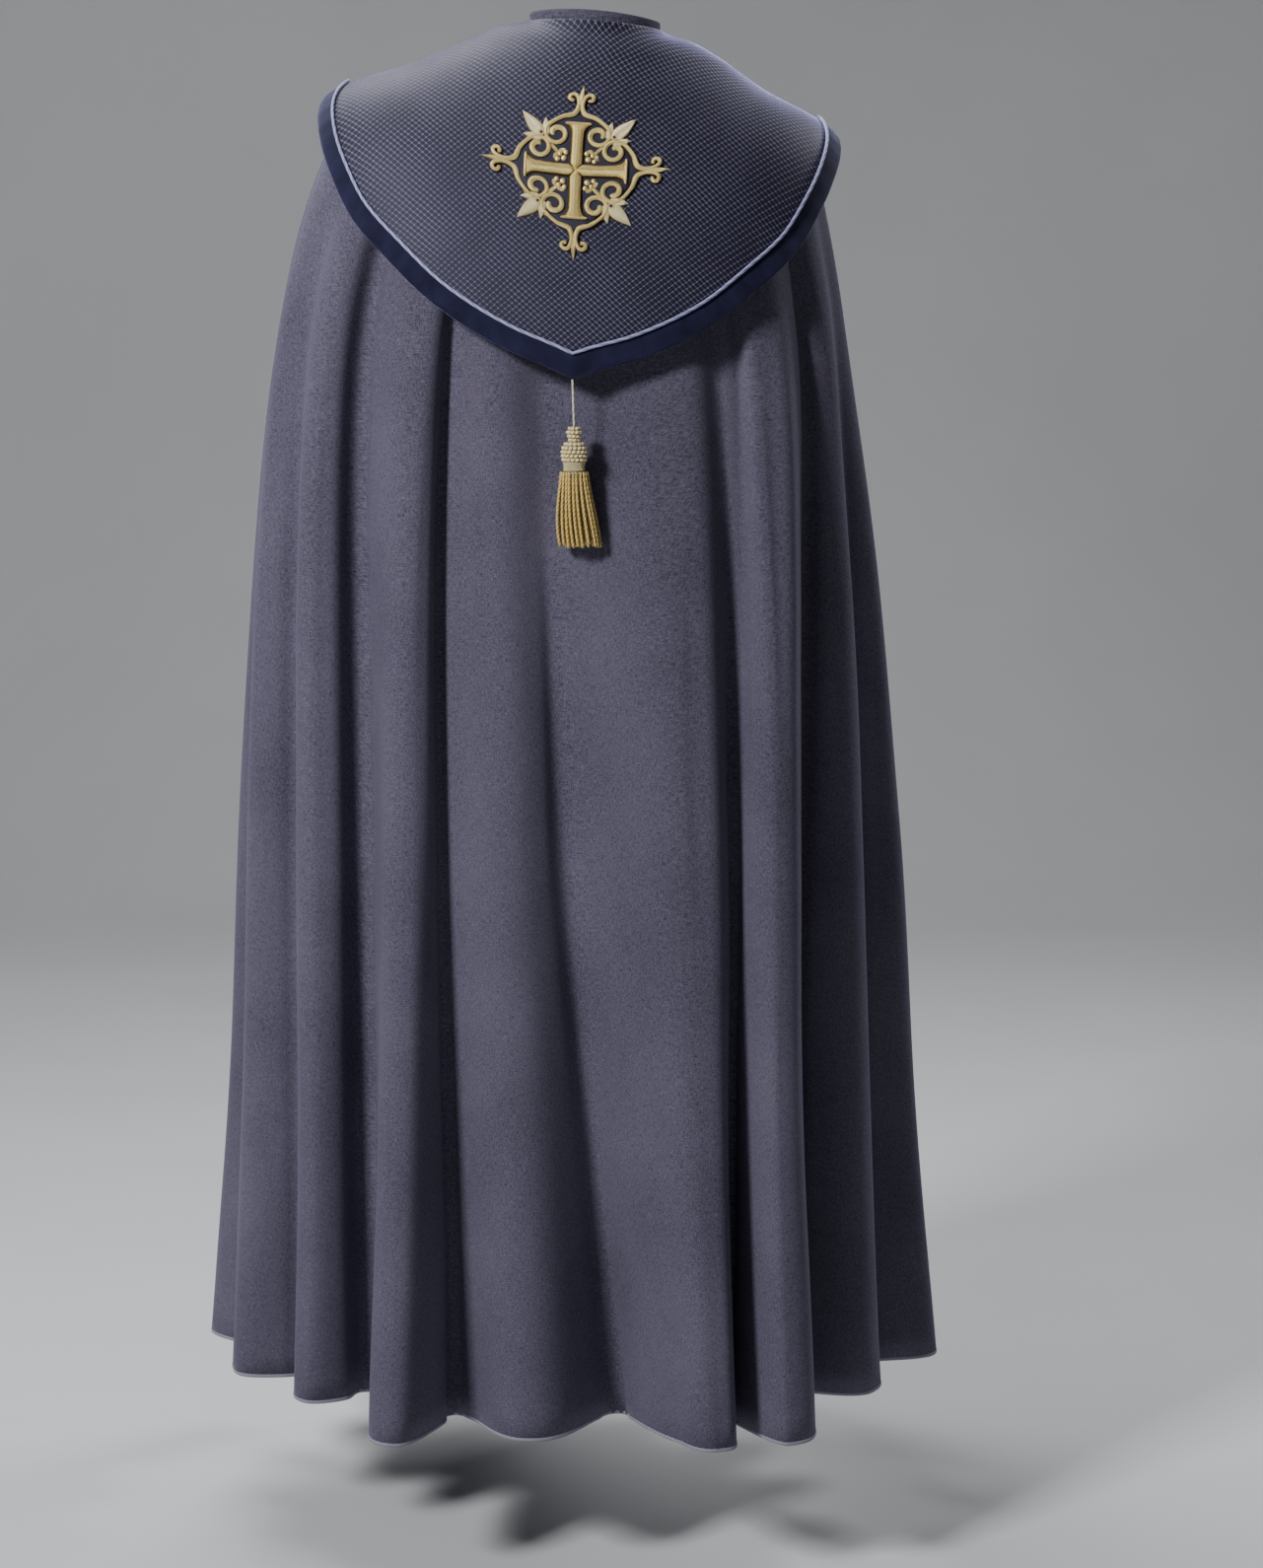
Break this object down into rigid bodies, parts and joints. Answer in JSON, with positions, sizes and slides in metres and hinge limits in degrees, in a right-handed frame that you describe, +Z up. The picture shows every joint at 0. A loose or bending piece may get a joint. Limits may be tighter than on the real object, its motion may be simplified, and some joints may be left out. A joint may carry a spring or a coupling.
{
  "type": "liturgical cope",
  "caption": "Long semicircular ceremonial cape with a shield-shaped back hood, velvet border, raised gold cross emblem and hanging tassel, in its worn form.",
  "frame": {"origin": "middle of the neckline, at the level where the cloth rests on the wearer's shoulders", "axes": "+Z up, +X to the wearer's right, the wearer's back faces -Y"},
  "size_m": [0.7976, 0.6285, 1.4438],
  "materials": {
    "cape_cloth": "matt slate-navy wool-like weave",
    "hood_jacquard": "navy jacquard with a fine pale diamond lattice",
    "border_velvet": "deep blue velvet",
    "piping_cord": "satin periwinkle cord",
    "emblem_ground": "dark navy felt",
    "gold_embroidery": "raised gold satin stitch",
    "tassel_thread": "gold rayon thread"
  },
  "bodies": {
    "root": {"cape_cloth": "cape_cloth", "hood_panel": "hood_jacquard", "hood_band": "border_velvet", "hood_piping": "piping_cord", "neckband": "cape_cloth", "clasp_band": "cape_cloth", "emblem_ground": "emblem_ground", "emblem_cross": "gold_embroidery", "emblem_frame": "gold_embroidery", "tassel_cord": "tassel_thread", "tassel": "tassel_thread"}
  },
  "joints": []
}
